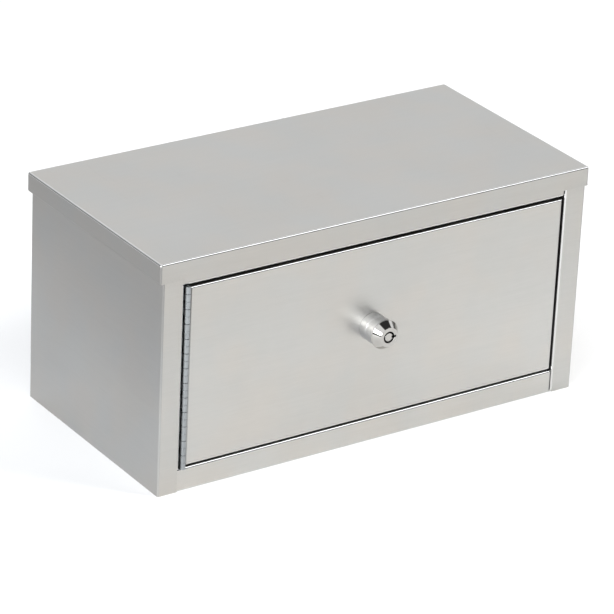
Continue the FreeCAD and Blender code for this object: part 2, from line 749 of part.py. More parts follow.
parts = {
    "top_cover": top_cover,
    "left_side_panel": left_side_panel,
    "right_side_panel": right_side_panel,
    "back_panel": back_panel,
    "bottom_panel": bottom_panel,
    "hinge_jamb": hinge_jamb,
    "hinge_frame_leaf": hinge_frame_leaf,
    "hinge_pin": hinge_pin,
    "hinge_frame_rivets": hinge_frame_rivets,
    "door_stops": door_stops,
    "door_pads": door_pads,
    "door_panel": door_panel,
    "hinge_door_leaf": hinge_door_leaf,
    "hinge_door_rivets": hinge_door_rivets,
    "lock_backing_plate": lock_backing_plate,
    "lock_collar_rear": lock_collar_rear,
    "lock_collar_front": lock_collar_front,
    "lock_housing": lock_housing,
    "lock_washer": lock_washer,
    "lock_nut": lock_nut,
    "lock_spindle": lock_spindle,
    "tumbler_pins": tumbler_pins,
    "tumbler_springs": tumbler_springs,
    "stop_washer": stop_washer,
    "lock_cam": lock_cam,
    "cam_washer": cam_washer,
    "cam_screw": cam_screw_part,
}

os.makedirs("parts", exist_ok=True)
for name, make in parts.items():
    shape = make()
    shape.exportStep("parts/" + name + ".step")
    print(name, len(shape.Solids), round(shape.Volume, 1), shape.isValid())
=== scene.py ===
from math import cos, pi, radians, sin

import bmesh
import bpy
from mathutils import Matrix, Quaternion, Vector


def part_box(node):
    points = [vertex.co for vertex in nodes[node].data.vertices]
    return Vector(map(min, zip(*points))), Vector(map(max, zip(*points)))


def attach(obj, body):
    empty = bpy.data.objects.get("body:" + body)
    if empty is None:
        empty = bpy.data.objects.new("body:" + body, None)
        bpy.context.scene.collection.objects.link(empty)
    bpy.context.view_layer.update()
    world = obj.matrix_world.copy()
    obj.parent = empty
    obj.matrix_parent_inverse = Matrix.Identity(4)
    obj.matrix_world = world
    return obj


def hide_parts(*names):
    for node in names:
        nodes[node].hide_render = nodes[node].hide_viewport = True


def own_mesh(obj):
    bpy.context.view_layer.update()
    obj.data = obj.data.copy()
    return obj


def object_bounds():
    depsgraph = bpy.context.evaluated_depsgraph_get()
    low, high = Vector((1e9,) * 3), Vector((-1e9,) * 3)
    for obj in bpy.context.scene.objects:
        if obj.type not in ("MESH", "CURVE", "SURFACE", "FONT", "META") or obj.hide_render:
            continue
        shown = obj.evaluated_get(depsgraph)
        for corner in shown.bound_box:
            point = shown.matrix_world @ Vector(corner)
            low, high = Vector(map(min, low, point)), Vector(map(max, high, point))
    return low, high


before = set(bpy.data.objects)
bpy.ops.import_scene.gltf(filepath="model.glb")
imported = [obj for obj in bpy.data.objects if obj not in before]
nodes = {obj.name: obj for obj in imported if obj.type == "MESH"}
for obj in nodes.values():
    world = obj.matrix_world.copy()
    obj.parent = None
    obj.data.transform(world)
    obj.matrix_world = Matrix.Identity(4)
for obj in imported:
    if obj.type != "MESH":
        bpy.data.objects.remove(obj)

cad_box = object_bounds()
mm = 0.001


# Camera. A long lens in front of the box's left corner, looking a little down on it and rolled
# slightly.

view_azimuth = radians(34.591)
view_drop = radians(25.187)
view_roll = radians(2.647)
camera = bpy.data.objects.new("camera", bpy.data.cameras.new("camera"))
bpy.context.scene.collection.objects.link(camera)
bpy.context.scene.camera = camera
look = Vector((sin(view_azimuth) * cos(view_drop), cos(view_azimuth) * cos(view_drop),
               -sin(view_drop)))
camera.rotation_mode = "QUATERNION"
camera.rotation_quaternion = look.to_track_quat("-Z", "Y") @ Quaternion((0, 0, 1), view_roll)
camera.location = (-1.55633, -2.25984, 1.36673)
camera.data.sensor_width = 36
camera.data.lens = 217.9
camera.data.clip_end = 50


# Studio. A plain pale floor, a warm key light at the front right, a cool fill at the front left and
# a room that is dimmer low down, overhead, in front and behind the left side. The key is kept out
# of mirror reflections, and a small bright spot in the room stands for it there.

class Value:
    """One output socket, so that sums of values are written as plain expressions."""

    def __init__(self, tree, socket):
        self.tree = tree
        self.socket = socket

    def math(self, operation, *operands):
        node = self.tree.nodes.new("ShaderNodeMath")
        node.operation = operation
        for slot, operand in zip(node.inputs, operands):
            if isinstance(operand, Value):
                self.tree.links.new(operand.socket, slot)
            else:
                slot.default_value = operand
        return Value(self.tree, node.outputs[0])

    def __add__(self, other):
        return self.math("ADD", self, other)

    def __radd__(self, other):
        return self.math("ADD", other, self)

    def __sub__(self, other):
        return self.math("SUBTRACT", self, other)

    def __rsub__(self, other):
        return self.math("SUBTRACT", other, self)

    def __mul__(self, other):
        return self.math("MULTIPLY", self, other)

    def __rmul__(self, other):
        return self.math("MULTIPLY", other, self)

    def __truediv__(self, other):
        return self.math("DIVIDE", self, other)

    def __abs__(self):
        return self.math("ABSOLUTE", self)


class Graph:
    """A node tree that is filled one node at a time."""

    def __init__(self, tree):
        self.tree = tree
        self.tree.nodes.clear()

    def node(self, kind, settings=(), output=0, **inputs):
        """Adds a node. An input is named by its label, or by its number as _0, _1 and so on."""
        node = self.tree.nodes.new(kind)
        for name, setting in dict(settings).items():
            setattr(node, name, setting)
        for name, value in inputs.items():
            slot = node.inputs[int(name[1:]) if name[1:].isdigit() else name.replace("_", " ")]
            if isinstance(value, Value):
                self.tree.links.new(value.socket, slot)
            else:
                slot.default_value = value
        return Value(self.tree, node.outputs[output])

    def spread(self, value, low, high, to_low=0.0, to_high=1.0):
        """to_low below low, to_high above high, and a smooth change between them."""
        return self.node("ShaderNodeMapRange", {"interpolation_type": "SMOOTHSTEP"}, Value=value,
                         _1=low, _2=high, _3=to_low, _4=to_high)

    def band(self, value, middle, half_width, soft):
        """1 within half_width of the middle, falling to 0 over the soft distance."""
        return self.spread(abs(value - middle), half_width, half_width + soft, 1.0, 0.0)

    def parts(self, vector):
        return [self.node("ShaderNodeSeparateXYZ", output=axis, Vector=vector) for axis in range(3)]

    def close(self, kind, result):
        """Adds the tree's output node and feeds it the result."""
        self.tree.links.new(result.socket, self.tree.nodes.new(kind).inputs[0])

    def mix(self, share, first, second):
        colours = [c if isinstance(c, Value) else (*c, 1) for c in (first, second)]
        return self.node("ShaderNodeMix", {"data_type": "RGBA"}, output=2,
                         _0=share, _6=colours[0], _7=colours[1])


class Finish(Graph):
    """A material whose patterns lie in the box's own space, in metres."""

    def __init__(self, name):
        self.material = bpy.data.materials.new(name)
        self.material.use_nodes = True
        super().__init__(self.material.node_tree)

    def place(self, stretch=(1, 1, 1), centre=(0, 0, 0), turn=(0, 0, 0)):
        where = self.node("ShaderNodeTexCoord", output=3)
        centred = self.node("ShaderNodeMapping", Vector=where, Location=[-c for c in centre])
        return self.node("ShaderNodeMapping", Vector=centred, Rotation=turn, Scale=stretch)

    def noise(self, where, scale, detail=2.0, roughness=0.5):
        return self.node("ShaderNodeTexNoise", Vector=where, Scale=scale, Detail=detail,
                         Roughness=roughness)

    def bump(self, height, distance, strength=1.0, **under):
        return self.node("ShaderNodeBump", Height=height, Distance=distance, Strength=strength,
                         **under)

    def surface(self, **inputs):
        self.close("ShaderNodeOutputMaterial", self.node("ShaderNodeBsdfPrincipled", **inputs))
        return self.material


floor_paper = Finish("floor_paper")
fibre = floor_paper.noise(floor_paper.place(), 900.0)
floor_paper.surface(Base_Color=(0.86, 0.86, 0.86, 1), Roughness=0.9,
                    Normal=floor_paper.bump(fibre, 0.05 * mm))
floor_mesh = bpy.data.meshes.new("studio_floor")
floor_half = 7.0
corners = [(-floor_half, -floor_half, 0), (floor_half, -floor_half, 0),
           (floor_half, floor_half, 0), (-floor_half, floor_half, 0)]
floor_mesh.from_pydata(corners, [], [(0, 1, 2, 3)])
floor_mesh.materials.append(floor_paper.material)
floor = bpy.data.objects.new("studio_floor", floor_mesh)
bpy.context.scene.collection.objects.link(floor)


def soft_light(name, place, target, size, power, colour, mirrored):
    lamp = bpy.data.lights.new(name, "AREA")
    lamp.size = size
    lamp.energy = power
    lamp.color = colour
    light = bpy.data.objects.new(name, lamp)
    light.location = place
    light.visible_glossy = mirrored
    light.rotation_mode = "QUATERNION"
    light.rotation_quaternion = (Vector(target) - Vector(place)).to_track_quat("-Z", "Y")
    bpy.context.scene.collection.objects.link(light)


soft_light("front_right_key", place=(1.30, -1.30, 1.75), target=(0.05, -0.2, 0), size=0.8, power=35,
           colour=(1.0, 0.975, 0.93), mirrored=False)
soft_light("left_fill", place=(-1.60, -0.76, 0.74), target=(-0.3, 0.1, 0), size=0.7, power=25,
           colour=(0.96, 0.98, 1.0), mirrored=True)

world = bpy.data.worlds.new("studio")
bpy.context.scene.world = world
world.use_nodes = True
room = Graph(world.node_tree)
towards = room.node("ShaderNodeTexCoord", output=0)


def patch(direction, outer, inner):
    """1 round a direction and 0 away from it; outer and inner are cosines of the angle to it."""
    aligned = room.node("ShaderNodeVectorMath", {"operation": "DOT_PRODUCT"}, output=1, _0=towards,
                        _1=direction)
    return room.spread(aligned, outer, inner)


room_strength = 1.50
key_spot_strength = 5.0
low_dimming = 0.92
overhead_dimming = 0.96
behind_left_dimming = 0.6
before_dimming = 0.85
low_band = room.spread(room.parts(towards)[2], 0.06, 0.42, 1.0, 0.0)
overhead = patch((0.30, -0.23, 0.926), 0.82, 0.87)
behind_left = patch((-0.55, 0.74, 0.38), 0.60, 0.95)
before = patch((0.50, -0.81, 0.30), 0.90, 0.96)
key_spot = patch((0.514, -0.426, 0.745), 0.985, 0.993)
brightness = (1 - low_dimming * low_band) * (1 - overhead_dimming * overhead)
brightness = brightness * (1 - behind_left_dimming * behind_left) * (1 - before_dimming * before)
brightness = brightness * room_strength + key_spot_strength * key_spot
glow = room.node("ShaderNodeBackground", Color=(0.985, 1.0, 1.025, 1), Strength=brightness)
room.close("ShaderNodeOutputWorld", glow)
bpy.context.scene.view_settings.view_transform = "Standard"


# Bottom panel. 18 gauge type 304 stainless, brushed one way with a belt so that its fine grain runs
# along the sheet. The floor's flanges are spot-welded inside; the rail is folded up in one piece.

cover_drop = 16.4 * mm
weld_half_width = 2.6 * mm
rail_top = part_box("bottom_panel")[1].z
opening_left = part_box("left_side_panel")[1].x
opening_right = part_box("right_side_panel")[0].x
front_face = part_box("bottom_panel")[0].y
steel_colour = (0.473, 0.464, 0.446)
# The side faces' colour is a darker copy of the same steel: painted shade.
shaded_side_steel_colour = (0.329, 0.327, 0.323)
# Height over which the sheets' colour is painted lighter low down and darker high up, a painted
# reflection of the floor.
painted_reflection_height = 190 * mm
weld_soft = 3 * mm
hair_scale = 6500.0
streak_scale = 1300.0
sweep_scale = 260.0
cloud_scale = 13.0
roughness_change = 0.045
swirl_scale = 1500.0
ripple_height = 1.1 * mm
grain_height = 0.012 * mm


def brushed_sheet(name, along, colour, roughness, bottom_painted_light, top_painted_shade):
    """Belt-brushed sheet: hair-fine grain, faint longer streaks, cloudy handling marks, and welds
    on the front that were ground and brushed over. Its colour is also painted lighter towards the
    bottom and darker towards the top, a painted reflection of the floor."""
    finish = Finish(name)
    fine = [0.015 if along == axis else 1.0 for axis in "xyz"]
    long = [0.05 if along == axis else 1.0 for axis in "xyz"]
    hairs = finish.noise(finish.place(fine), hair_scale, 2.0, 0.6)
    streaks = finish.noise(finish.place(fine, centre=(0.31, 0.17, 0.23)), streak_scale, 3.0, 0.6)
    sweeps = finish.noise(finish.place(long, centre=(0.7, 0.4, 0.9)), sweep_scale, 2.0, 0.5)
    clouds = finish.noise(finish.place(centre=(0.2, 0.5, 0.1)), cloud_scale, 3.0, 0.6)
    x, y, z = finish.parts(finish.place())
    on_front = finish.spread(y, front_face + 0.2 * mm, front_face + 1.5 * mm, 1.0, 0.0)
    rail_weld = finish.band(x, opening_left, weld_half_width, weld_soft)
    rail_weld = rail_weld * finish.spread(z, rail_top - 3 * mm, rail_top + 1 * mm, 1.0, 0.0)
    beside_opening = 1 - finish.band(x, (opening_left + opening_right) / 2,
                                     (opening_right - opening_left) / 2 - 1 * mm, 1 * mm)
    stile_weld = finish.band(z, cad_box[1][2] - cover_drop, weld_half_width, weld_soft)
    stile_weld = stile_weld * beside_opening
    weld = on_front * rail_weld.math("MAXIMUM", rail_weld, stile_weld)
    swirl = finish.noise(finish.place((1, 1, 0.3)), swirl_scale, 3.0, 0.7)
    grain = hairs * 0.45 + streaks * 0.35 + sweeps * 0.2
    grain = grain * (1 - weld) + swirl * weld
    tone = finish.spread(grain * 0.55 + clouds * 0.45, 0.36, 0.64)
    # Painted reflection of the floor: the colour is lighter towards the bottom and darker towards
    # the top. The random tone on it is the sheet's own.
    shade = finish.spread(z, 0.0, painted_reflection_height, bottom_painted_light, top_painted_shade) * (0.955 + 0.09 * tone)
    hue = finish.noise(finish.place(centre=(0.9, 0.2, 0.6)), 22.0, 2.0, 0.5)
    warm = finish.mix(finish.spread(hue, 0.3, 0.7), (0.99, 1.0, 1.0), (1.02, 1.0, 0.975))
    base = finish.node("ShaderNodeVectorMath", {"operation": "SCALE"}, _0=warm, Scale=shade)
    base = finish.node("ShaderNodeVectorMath", {"operation": "MULTIPLY"}, _0=base, _1=colour)
    scratch = finish.noise(finish.place((1.0, 0.04, 1.0), turn=(0.4, 0.7, 0.5)), 900.0, 0.0, 0.5)
    scratch = finish.spread(scratch, 0.74, 0.80) * finish.spread(clouds, 0.5, 0.62)
    satin = finish.spread(clouds * 0.6 + grain * 0.4, 0.35, 0.65, roughness - roughness_change,
                          roughness + roughness_change)
    satin = satin + weld * 0.05 + scratch * 0.06
    ripple = finish.noise(finish.place(centre=(0.1, 0.8, 0.3)), 6.0, 1.0, 0.4)
    normal = finish.bump(ripple + weld * 0.04, ripple_height, 0.3)
    normal = finish.bump(grain - scratch * 0.5, grain_height, 0.8, Normal=normal)
    finish.surface(Base_Color=base, Roughness=satin, Metallic=1.0, Normal=normal)
    return finish.material


# Folds: polished smoother than the sheet, and painted lighter than it, a painted highlight along
# each bend.
fold_polish_and_painted_highlight = Finish("polished_fold_painted_highlight")
fold_clouds = fold_polish_and_painted_highlight.noise(fold_polish_and_painted_highlight.place(), 60.0, 3.0, 0.6)
fold_grain = fold_polish_and_painted_highlight.noise(fold_polish_and_painted_highlight.place((0.2, 0.2, 0.2)), 6000.0, 2.0, 0.6)
fold_polish_and_painted_highlight.surface(
    Base_Color=fold_polish_and_painted_highlight.mix(fold_clouds, (0.58, 0.58, 0.57), (0.66, 0.66, 0.65)),
    Roughness=fold_polish_and_painted_highlight.spread(fold_clouds, 0.3, 0.7, 0.03, 0.06), Metallic=1.0,
    Normal=fold_polish_and_painted_highlight.bump(fold_grain, 0.0004 * mm, 0.6))


def sheet_set(name, tone):
    """Finishes of one piece: faces brushed along X, side faces brushed along Y in a darker copy of
    the steel that is painted shade, and its folds. The tone scales the piece's steel lighter or
    darker as painted light and shade.
    """
    colour, shaded_side_colour = [[c * tone for c in steel] for steel in (steel_colour, shaded_side_steel_colour)]
    return [brushed_sheet(name + "_along_x", "x", colour, roughness=0.37, bottom_painted_light=1.07,
                          top_painted_shade=0.93),
            brushed_sheet(name + "_along_y_painted_shade", "y", shaded_side_colour, roughness=0.40, bottom_painted_light=1.34,
                          top_painted_shade=0.82),
            fold_polish_and_painted_highlight.material]


def as_mesh(piece):
    """The piece's shape with its modifiers applied, as a plain mesh."""
    bpy.context.view_layer.update()
    evaluated = piece.evaluated_get(bpy.context.evaluated_depsgraph_get())
    mesh = bpy.data.meshes.new_from_object(evaluated)
    piece.modifiers.clear()
    piece.data = mesh
    return mesh


weld_distance = 0.002 * mm
flat_within = radians(0.3)
edge_angle = radians(50)
square_on = 0.985
side_on = 0.7


def joined_faces(node):
    """A copy of a CAD node's mesh with its triangles joined into whole faces."""
    mesh = nodes[node].data.copy()
    shape = bmesh.new()
    shape.from_mesh(mesh)
    bmesh.ops.remove_doubles(shape, verts=shape.verts, dist=weld_distance)
    bmesh.ops.dissolve_limit(shape, angle_limit=flat_within, verts=shape.verts, edges=shape.edges)
    shape.to_mesh(mesh)
    shape.free()
    return mesh


def fit(node, mesh, materials, body, broken_edge=0.0, crease=32):
    """Turns a mesh into the finished piece that replaces a CAD node: its edges are broken, its
    curved faces are smooth and its flat faces stay flat. A folded sheet has three finishes, for its
    square-on faces, for its side faces, upright corners and hem rolls, and for its other folds; the
    second is a darker copy of the steel as painted shade, and the third is lighter as a painted
    highlight."""
    piece = bpy.data.objects.new(node + "_finished", mesh)
    bpy.context.scene.collection.objects.link(piece)
    for face in mesh.polygons:
        face.use_smooth = True
    if broken_edge:
        bevel = piece.modifiers.new("broken_edges", "BEVEL")
        bevel.width = broken_edge
        bevel.segments = 2
        bevel.limit_method = "ANGLE"
        bevel.angle_limit = edge_angle
        mesh = as_mesh(piece)
    mesh.set_sharp_from_angle(angle=radians(crease))
    weights = piece.modifiers.new("flat_faces", "WEIGHTED_NORMAL")
    weights.keep_sharp = True
    mesh = as_mesh(piece)
    mesh.materials.clear()
    for material in materials:
        mesh.materials.append(material)
    if len(materials) > 1:
        for face in mesh.polygons:
            if max(abs(n) for n in face.normal) < square_on:
                upright_corner = abs(face.normal.z) < 0.1 and face.normal.x * face.center.x > 0
                hem_roll = face.normal.z < 0 and abs(face.normal.x) > 0.2
                face.material_index = 1 if upright_corner or hem_roll else 2
            elif abs(face.normal.x) > side_on:
                face.material_index = 1
    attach(piece, body)
    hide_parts(node)
    return piece


# The rail's steel is made lighter than the other pieces': painted light.
base_sheet = sheet_set("base_sheet", 1.04)
cut_edge = 0.12 * mm


def folded(node, body, materials):
    fit(node, joined_faces(node), materials, body, cut_edge)


folded("bottom_panel", "cabinet", base_sheet)


# Side panels. Each is one folded sheet with a front stile; the left stile is welded flush to the
# rail and the header, and the right one leaves an open seam beside their folded ends.

# The side panels' steel is made a little darker: painted shade.
side_sheet = sheet_set("side_sheet", 0.965)
for side in ("left_side_panel", "right_side_panel"):
    folded(side, "cabinet", side_sheet)


# Back panel. A flat sheet spot-welded between the side flanges, punched for four fixing screws.

folded("back_panel", "cabinet", side_sheet)


# Top cover. One sheet folded down on all four sides; three flanges are hemmed, and the front one
# carries the header over the door. It is welded down to the side panels.

# The cover's steel, header included, is made darker: painted shade.
folded("top_cover", "cabinet", sheet_set("cover_sheet", 0.93))


# Hinge jamb. A channel of heavier sheet, spot-welded behind the left stile to carry the hinge.

folded("hinge_jamb", "cabinet", side_sheet)


# Hinge leaves. A continuous hinge of mill-finish stainless; each leaf's edge is cut into tabs that
# are rolled round the pin, six millimetres each, in turn from the frame's leaf and the door's.

knuckle_length = 6.0 * mm
knuckle_pitch = 12.55 * mm
knuckle_gap_under = 0.15 * mm
knuckle_edge = 0.16 * mm
leaf_thickness = 1.0 * mm
leaf_setback = 0.3 * mm
leaf_end_margin = 0.5 * mm
leaf_edge = 0.2 * mm
curl_overlap = 0.2 * mm
roll_angle = radians(322)
roll_points = 40

pin_low, pin_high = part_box("hinge_pin")
axis_x = (pin_low.x + pin_high.x) / 2
axis_y = (pin_low.y + pin_high.y) / 2
barrel_radius = axis_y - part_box("hinge_frame_leaf")[0].y

hinge_steel = Finish("mill_finish_hinge")
draw_lines = hinge_steel.noise(hinge_steel.place((1, 1, 0.02)), 4200.0, 2.0, 0.6)
hinge_haze = hinge_steel.noise(hinge_steel.place(), 110.0, 3.0, 0.6)
hinge_tone = hinge_steel.spread(draw_lines * 0.5 + hinge_haze * 0.5, 0.35, 0.65)
hinge_steel.surface(
    Base_Color=hinge_steel.mix(hinge_tone, (0.27, 0.287, 0.297), (0.335, 0.352, 0.362)),
    Roughness=hinge_steel.spread(hinge_haze, 0.3, 0.7, 0.26, 0.36), Metallic=1.0,
    Normal=hinge_steel.bump(draw_lines, 0.008 * mm, 0.7))


def grown(name, build, material, **sizes):
    """The mesh that a geometry tree makes. Each size is a named input of the tree; build takes the
    graph and those inputs and returns the geometry."""
    tree = bpy.data.node_groups.new(name, "GeometryNodeTree")
    kinds = {float: "NodeSocketFloat", int: "NodeSocketInt", tuple: "NodeSocketVector"}
    graph = Graph(tree)
    sockets = {}
    for key, size in sizes.items():
        kind = kinds.get(type(size), "NodeSocketObject")
        sockets[key] = tree.interface.new_socket(key.replace("_", " "), in_out="INPUT",
                                                 socket_type=kind)
    tree.interface.new_socket("Geometry", in_out="OUTPUT", socket_type="NodeSocketGeometry")
    entry = tree.nodes.new("NodeGroupInput")
    values = {key: Value(tree, entry.outputs[key.replace("_", " ")]) for key in sizes}
    solid = graph.node("GeometryNodeRealizeInstances", Geometry=build(graph, **values))
    solid = graph.node("GeometryNodeSetMaterial", Geometry=solid, Material=material)
    graph.close("NodeGroupOutput", solid)
    host = bpy.data.objects.new(name, bpy.data.meshes.new(name))
    bpy.context.scene.collection.objects.link(host)
    modifier = host.modifiers.new(name, "NODES")
    modifier.node_group = tree
    for key, size in sizes.items():
        modifier[sockets[key].identifier] = size
    mesh = as_mesh(host)
    bpy.data.objects.remove(host)
    return mesh


def in_row(graph, shape, count, first, step):
    row = graph.node("GeometryNodeMeshLine", Count=count, Start_Location=first, Offset=step)
    return graph.node("GeometryNodeInstanceOnPoints", Points=row, Instance=shape)


def rolled_knuckles(graph, count, pitch, length, bottom, radius, thickness, side, plate_x, plate_y):
    """A row of tabs, each rolled round the pin from a plate on the given side of it."""
    line = graph.node("GeometryNodeMeshLine", Count=roll_points)
    index = graph.node("GeometryNodeInputIndex")
    turned_by = (index - 1) * (roll_angle / (roll_points - 2))
    middle = radius - thickness * 0.5
    on_plate = index.math("LESS_THAN", index, 0.5)
    rolled_x = turned_by.math("COSINE", turned_by) * middle * side + axis_x
    rolled_y = axis_y - turned_by.math("SINE", turned_by) * middle
    x = rolled_x * (1 - on_plate) + plate_x * on_plate
    y = rolled_y * (1 - on_plate) + plate_y * on_plate
    strip = graph.node("GeometryNodeSetPosition", Geometry=line,
                       Position=graph.node("ShaderNodeCombineXYZ", X=x, Y=y))
    path = graph.node("GeometryNodeMeshToCurve", Mesh=strip)
    path = graph.node("GeometryNodeSetCurveNormal", {"mode": "Z_UP"}, Curve=path)
    section = graph.node("GeometryNodeCurvePrimitiveQuadrilateral", Width=thickness, Height=length)
    section = graph.node("GeometryNodeFilletCurve", {"mode": "POLY"}, Curve=section,
                         Radius=knuckle_edge, Count=3)
    knuckle = graph.node("GeometryNodeCurveToMesh", Curve=path, Profile_Curve=section,
                         Fill_Caps=True)
    first = graph.node("ShaderNodeCombineXYZ", Z=bottom + length * 0.5)
    return in_row(graph, knuckle, count, first, graph.node("ShaderNodeCombineXYZ", Z=pitch))


def bar_mesh(bars, edge, base=None):
    """Square bars, each between two corners, with softened edges."""
    shape = bmesh.new()
    for low, high in bars:
        corners = bmesh.ops.create_cube(shape, size=1.0)["verts"]
        for corner in corners:
            corner.co = [l + (c + 0.5) * (h - l) for l, h, c in zip(low, high, corner.co)]
    bmesh.ops.bevel(shape, geom=shape.edges, offset=edge, segments=2, profile=0.5, affect="EDGES")
    if base:
        shape.from_mesh(base)
    mesh = bpy.data.meshes.new("bars")
    shape.to_mesh(mesh)
    shape.free()
    return mesh


def hinge_leaf(node, body, side, count, bottom, plate_middle, plate_ends):
    """A flat leaf with its row of knuckles, on the given side of the pin."""
    plate_y = axis_y + barrel_radius + leaf_setback
    curls = grown(node + "_curls", rolled_knuckles, hinge_steel.material, count=count,
                  pitch=knuckle_pitch, length=knuckle_length, bottom=bottom, radius=barrel_radius,
                  thickness=leaf_thickness, side=float(side), plate_x=plate_middle,
                  plate_y=plate_y + curl_overlap)
    half = leaf_thickness / 2
    plate_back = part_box(node)[1].y
    plate = ((plate_middle - half, plate_y, plate_ends[0]),
             (plate_middle + half, plate_back, plate_ends[1]))
    fit(node, bar_mesh([plate], leaf_edge, curls), [hinge_steel.material], body)


frame_low, frame_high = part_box("hinge_frame_leaf")
pan_low, pan_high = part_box("door_panel")
knuckle_count = round((frame_high.z - frame_low.z - knuckle_length) / knuckle_pitch) + 1
hinge_leaf("hinge_frame_leaf", "cabinet", -1, knuckle_count, frame_low.z,
           frame_low.x + leaf_thickness / 2, (frame_low.z, frame_high.z))
hinge_leaf("hinge_door_leaf", "door", 1, knuckle_count - 1,
           frame_low.z + knuckle_length + knuckle_gap_under,
           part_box("hinge_door_leaf")[1].x - leaf_thickness / 2,
           (pan_low.z + leaf_end_margin, pan_high.z - leaf_end_margin))


# Hinge pin. A drawn stainless wire through all the knuckles, with lightly domed ends; the two end
# knuckles are staked onto it.

pin_end = 0.3 * mm
turning_steps = 96
longest_reach = 0.45


def rounded(outline, radius, steps=4):
    """Rounds every corner of a closed outline of (along, out) points."""
    points = []
    for i, corner in enumerate(outline):
        corner = Vector(corner)
        before = Vector(outline[i - 1]) - corner
        after = Vector(outline[(i + 1) % len(outline)]) - corner
        reach = min(radius, before.length * longest_reach, after.length * longest_reach)
        start = corner + before.normalized() * reach
        end = corner + after.normalized() * reach
        for k in range(steps + 1):
            t = k / steps
            points.append(start * (1 - t) ** 2 + corner * 2 * t * (1 - t) + end * t ** 2)
    return points


def turned(outline, centre, axis="y", steps=turning_steps):
    """A shape turned on a lathe from a closed outline of (along, out) points, round a line along
    the given axis. Points with an out of 0 lie on the line itself."""
    shape = bmesh.new()
    rings = []
    for along, out in outline:
        ring = []
        for k in range(steps):
            a, b = out * cos(2 * pi * k / steps), out * sin(2 * pi * k / steps)
            place = {"x": (along, a, b), "y": (b, along, a), "z": (a, b, along)}[axis]
            ring.append(shape.verts.new(Vector(place) + Vector(centre)))
        rings.append(ring)
    for ring, following in zip(rings, rings[1:] + rings[:1]):
        for k in range(steps):
            n = (k + 1) % steps
            shape.faces.new((ring[k], ring[n], following[n], following[k]))
    bmesh.ops.remove_doubles(shape, verts=shape.verts, dist=0.0005 * mm)
    bmesh.ops.dissolve_degenerate(shape, edges=shape.edges, dist=0.0002 * mm)
    bmesh.ops.recalc_face_normals(shape, faces=shape.faces)
    mesh = bpy.data.meshes.new("turned")
    shape.to_mesh(mesh)
    shape.free()
    return mesh


def outer_ring(low, high, bore, out, edge):
    """Outline of a plain ring, or of a round bar when bore is 0."""
    if bore:
        return rounded([(low, bore), (high, bore), (high, out), (low, out)], edge)
    corners = rounded([(low, 0), (high, 0), (high, out), (low, out)], edge)
    return [(low, 0), (high, 0)] + [tuple(p) for p in corners if p[1] > out * 0.5]


pin_radius = (pin_high.x - pin_low.x) / 2
pin = turned(outer_ring(pin_low.z, pin_high.z, 0, pin_radius, pin_end), (axis_x, axis_y, 0), "z")
fit("hinge_pin", pin, [hinge_steel.material], "cabinet")


# Hinge rivets. Solid stainless rivets, heads inside the hinge and tails upset against the jamb and
# the door's return; the door's row sits midway between the frame's.

rivet_shank = 1.6 * mm
rivet_head = 3.0 * mm
rivet_head_height = 0.9 * mm
rivet_tail = 2.3 * mm
rivet_tail_height = 1.8 * mm
rivet_steps = 32

rivet_steel = Finish("bright_rivet")
rivet_haze = rivet_steel.noise(rivet_steel.place(), 800.0, 3.0, 0.6)
rivet_steel.surface(
    Base_Color=rivet_steel.mix(rivet_haze, (0.50, 0.51, 0.52), (0.60, 0.61, 0.61)),
    Roughness=rivet_steel.spread(rivet_haze, 0.3, 0.7, 0.2, 0.34), Metallic=1.0,
    Normal=rivet_steel.bump(rivet_haze, 0.02 * mm, 0.6))


def same_shape(graph, source):
    return graph.node("GeometryNodeObjectInfo", {"transform_space": "ORIGINAL"}, output=4,
                      Object=source)


def copies_in_row(graph, source, count, first, step):
    return in_row(graph, same_shape(graph, source), count, first, step)


def copied(name, mesh, build, material, **sizes):
    """Copies of one mesh, placed by a geometry tree."""
    source = bpy.data.objects.new(name + "_pattern", mesh)
    bpy.context.scene.collection.objects.link(source)
    result = grown(name, build, material, source=source, **sizes)
    bpy.data.objects.remove(source)
    return result


def rivet_row(node, body, way, count):
    """Rivets along X with their heads on the side away from the given way."""
    low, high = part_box(node)
    head_end, tail_end = (high.x, low.x) if way < 0 else (low.x, high.x)
    seat = head_end + way * rivet_head_height
    grip = tail_end - way * rivet_tail_height
    outline = [(head_end, 0), (tail_end, 0), (tail_end, rivet_tail * 0.6),
               (tail_end - way * rivet_tail_height * 0.25, rivet_tail * 0.93), (grip, rivet_tail),
               (grip, rivet_shank), (seat, rivet_shank), (seat, rivet_head),
               (head_end + way * rivet_head_height * 0.35, rivet_head * 0.94),
               (head_end, rivet_head * 0.62)]
    one = turned(outline, (0, 0, 0), "x", rivet_steps)
    first = (0.0, (low.y + high.y) / 2, low.z + rivet_head)
    step = (0.0, 0.0, (high.z - low.z - 2 * rivet_head) / (count - 1))
    row = copied(node + "_row", one, copies_in_row, rivet_steel.material, count=count, first=first,
                 step=step)
    fit(node, row, [rivet_steel.material], body)


rivet_row("hinge_frame_rivets", "cabinet", -1, 6)
rivet_row("hinge_door_rivets", "door", 1, 5)


# Door stops and pads. Two small angles welded on the right stile's return, each with a black
# rubber pad that the closed door nearly touches.

folded("door_stops", "cabinet", side_sheet)

pad_edge = 0.15 * mm
pad_rubber = Finish("black_rubber")
rubber_mould = pad_rubber.noise(pad_rubber.place(), 2500.0, 3.0, 0.7)
rubber_dust = pad_rubber.spread(pad_rubber.noise(pad_rubber.place(), 400.0, 4.0, 0.7), 0.5, 0.75)
pad_rubber.surface(
    Base_Color=pad_rubber.mix(rubber_dust, (0.018, 0.018, 0.019), (0.06, 0.058, 0.055)),
    Roughness=pad_rubber.spread(rubber_mould, 0.3, 0.7, 0.6, 0.8),
    Normal=pad_rubber.bump(rubber_mould, 0.04 * mm, 0.5))
fit("door_pads", joined_faces("door_pads"), [pad_rubber.material], "cabinet",
    pad_edge)


